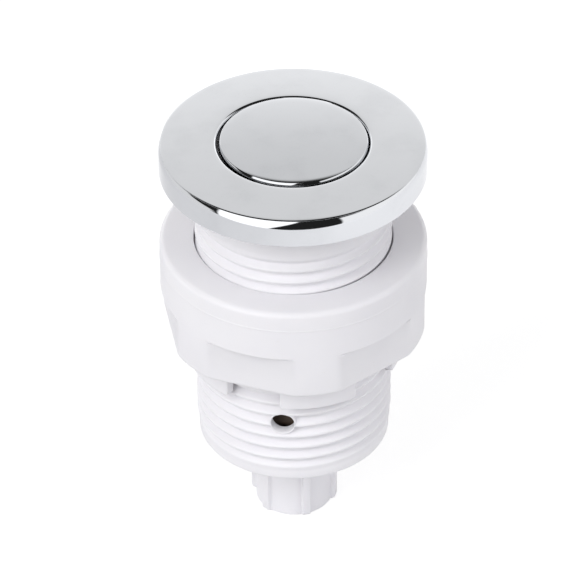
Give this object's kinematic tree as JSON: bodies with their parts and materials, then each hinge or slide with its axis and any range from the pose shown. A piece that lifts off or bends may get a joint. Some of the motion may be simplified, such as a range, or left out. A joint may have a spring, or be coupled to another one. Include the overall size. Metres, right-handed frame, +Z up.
{
  "type": "sink top air switch",
  "caption": "Push button in a chrome bezel on a white threaded barrel with a flanged clamping nut and a ribbed tube nut; pressing it squeezes a rubber bellows.",
  "frame": {"origin": "centre of the coupling nut's lower face, at the middle of the part's lowest level", "axes": "+Z up along the barrel towards the button, +X to the right of the picture, +Y away from its camera"},
  "size_m": [0.0448, 0.0448, 0.0751],
  "materials": {
    "chrome_bezel": "polished plating",
    "chrome_button": "polished plating",
    "white_plastic": "moulded, half gloss",
    "black_rubber": "matt",
    "brown_rubber": "matt"
  },
  "bodies": {
    "barrel": {"barrel": "white_plastic", "bezel": "chrome_bezel", "deck_gasket": "black_rubber", "bellows": "brown_rubber", "bellows_clamp": "white_plastic", "base_plug": "white_plastic"},
    "button": {"button_cap": "chrome_button", "button_plunger": "white_plastic"},
    "mounting_nut": {"mounting_nut": "white_plastic"},
    "coupling_nut": {"coupling_nut": "white_plastic"}
  },
  "joints": [
    {"name": "button_press", "type": "slide", "parent": "barrel", "child": "button", "axis": [0, 0, 1], "range_m": [-0.004, 0], "stiffness_N_per_m": 600, "springref_m": 0.005, "deforming": ["bellows"]},
    {"name": "mounting_nut_run", "type": "slide", "parent": "barrel", "child": "mounting_nut", "axis": [0, 0, 1], "range_m": [-0.03694, 0.01335]},
    {"name": "coupling_nut_run", "type": "slide", "parent": "barrel", "child": "coupling_nut", "axis": [0, 0, -1], "range_m": [0, 0.012]}
  ]
}
